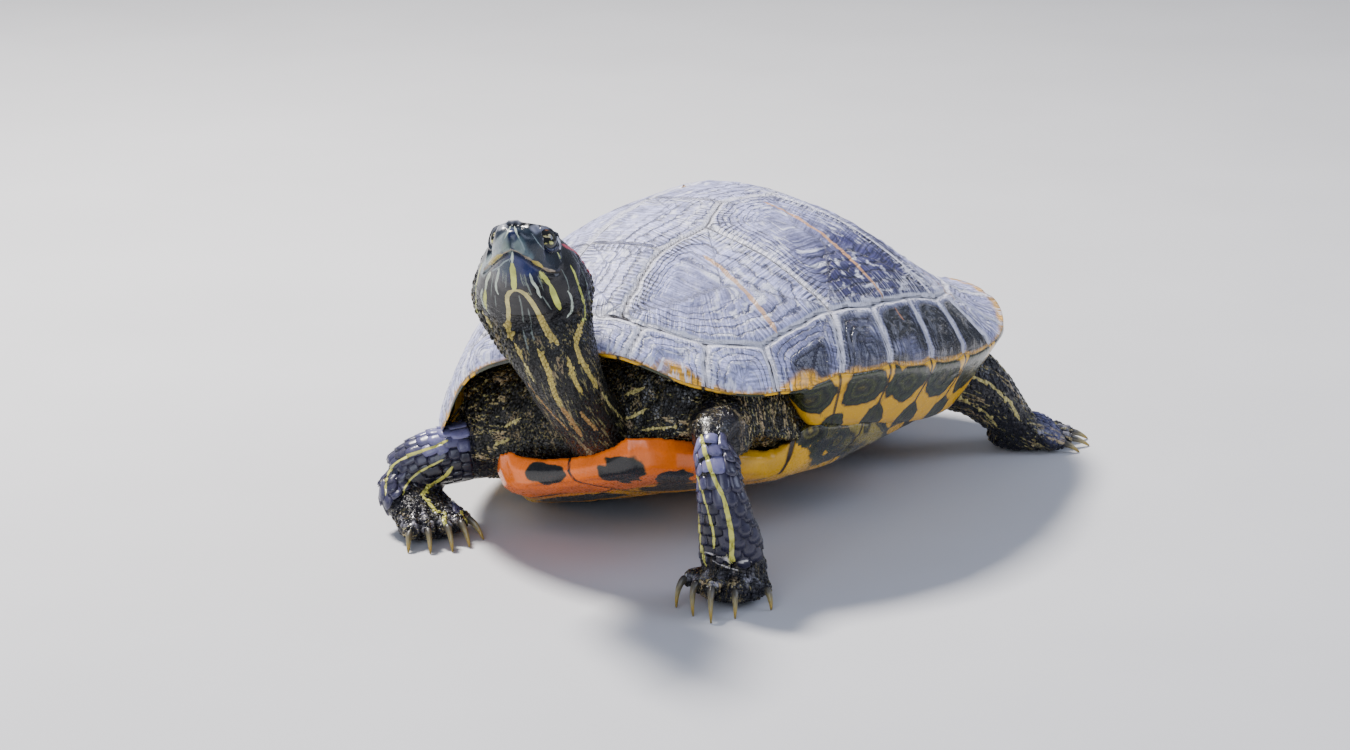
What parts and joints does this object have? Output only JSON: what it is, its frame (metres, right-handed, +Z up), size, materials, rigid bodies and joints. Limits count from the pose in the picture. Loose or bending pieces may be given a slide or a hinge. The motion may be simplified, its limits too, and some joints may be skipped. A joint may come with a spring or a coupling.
{
  "type": "red-eared slider turtle model",
  "caption": "Still, life-size red-eared slider turtle propped up on its forelegs with its neck stretched and its head raised.",
  "frame": {"origin": "on the floor under the middle of the bounding box", "axes": "+Z up, the animal faces -Y, its left side is +X"},
  "size_m": [0.2048, 0.3056, 0.1356],
  "materials": {
    "weathered_keratin": "weathered dark horn plates with a dry bluish sheen",
    "plastron_keratin": "yellow to orange horn plates with dark blotches",
    "striped_skin": "dark scaly skin with thin yellow stripes",
    "wet_eye": "wet and glossy",
    "claw_horn": "worn horn"
  },
  "bodies": {
    "root": {"carapace": "weathered_keratin", "plastron": "plastron_keratin", "head": "striped_skin", "neck": "striped_skin", "torso": "striped_skin", "tail": "striped_skin", "foreleg_left": "striped_skin", "foreleg_right": "striped_skin", "forefoot_left": "striped_skin", "forefoot_right": "striped_skin", "hindleg_left": "striped_skin", "hindleg_right": "striped_skin", "hindfoot_left": "striped_skin", "hindfoot_right": "striped_skin", "eye_left": "wet_eye", "eye_right": "wet_eye", "claw_fore_left_1": "claw_horn", "claw_fore_left_2": "claw_horn", "claw_fore_left_3": "claw_horn", "claw_fore_left_4": "claw_horn", "claw_fore_left_5": "claw_horn", "claw_fore_right_1": "claw_horn", "claw_fore_right_2": "claw_horn", "claw_fore_right_3": "claw_horn", "claw_fore_right_4": "claw_horn", "claw_fore_right_5": "claw_horn", "claw_hind_left_1": "claw_horn", "claw_hind_left_2": "claw_horn", "claw_hind_left_3": "claw_horn", "claw_hind_left_4": "claw_horn", "claw_hind_right_1": "claw_horn", "claw_hind_right_2": "claw_horn", "claw_hind_right_3": "claw_horn", "claw_hind_right_4": "claw_horn"}
  },
  "joints": []
}
